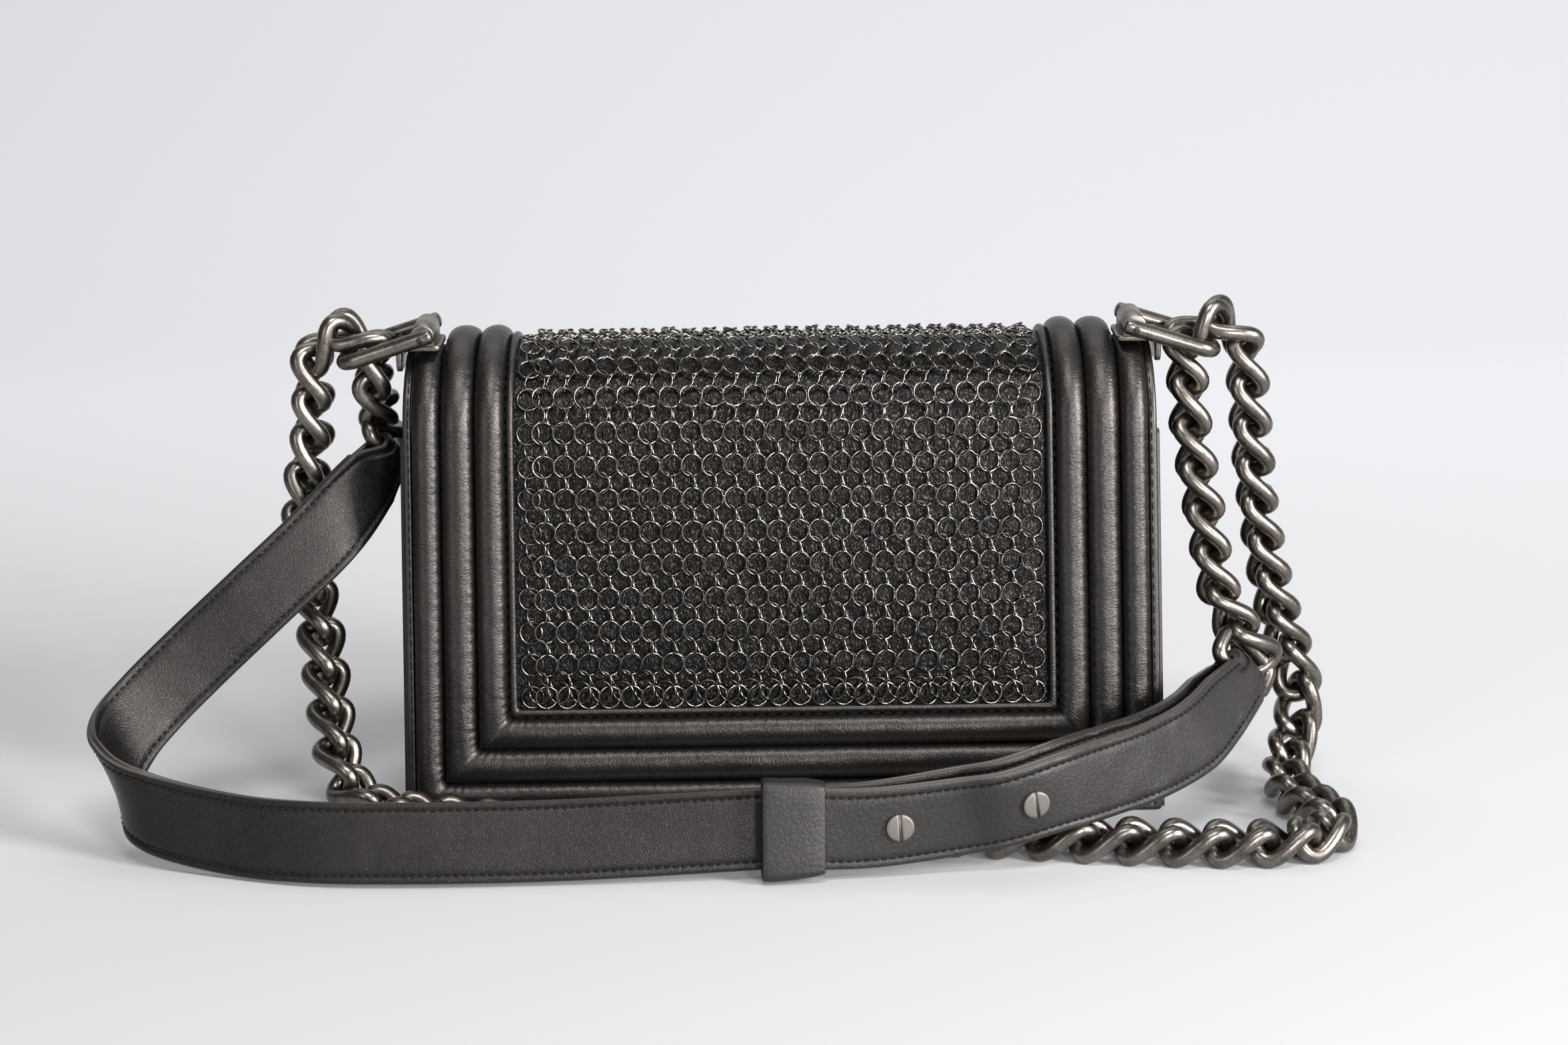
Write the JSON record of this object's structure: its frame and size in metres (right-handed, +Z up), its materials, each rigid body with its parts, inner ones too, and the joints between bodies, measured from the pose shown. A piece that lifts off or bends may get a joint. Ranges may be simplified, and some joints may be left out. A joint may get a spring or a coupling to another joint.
{
  "type": "flap bag",
  "caption": "Small structured flap bag with a padded leather frame, a ring mail panel, curb chain and leather shoulder strap.",
  "frame": {"origin": "middle of the base, on the surface that the bag stands on", "axes": "+Z up, +X to the right of the face with the full frame, -Y out of that face"},
  "size_m": [0.3341, 0.1305, 0.137],
  "materials": {
    "bag_leather": "metallic grained",
    "strap_leather": "metallic grained",
    "dark_metal": "dark ruthenium polish",
    "screw_metal": "brushed"
  },
  "bodies": {
    "root": {"back_panel": "bag_leather", "flap": "bag_leather", "front_panel": "bag_leather", "base_panel": "bag_leather", "gusset_left": "bag_leather", "gusset_right": "bag_leather", "roll_middle": "bag_leather", "roll_inner": "bag_leather", "roll_outer_back": "bag_leather", "roll_outer_front": "bag_leather", "binding_back": "bag_leather", "binding_front": "bag_leather", "panel_piping": "bag_leather", "mail_panel": "dark_metal", "clasp_plate": "dark_metal", "bracket_left": "dark_metal", "bracket_right": "dark_metal", "bail_left": "dark_metal", "bail_right": "dark_metal", "pin_left": "dark_metal", "pin_right": "dark_metal", "chain": "dark_metal", "strap": "strap_leather", "strap_keeper": "strap_leather", "screw_1": "screw_metal", "screw_2": "screw_metal"}
  },
  "joints": []
}
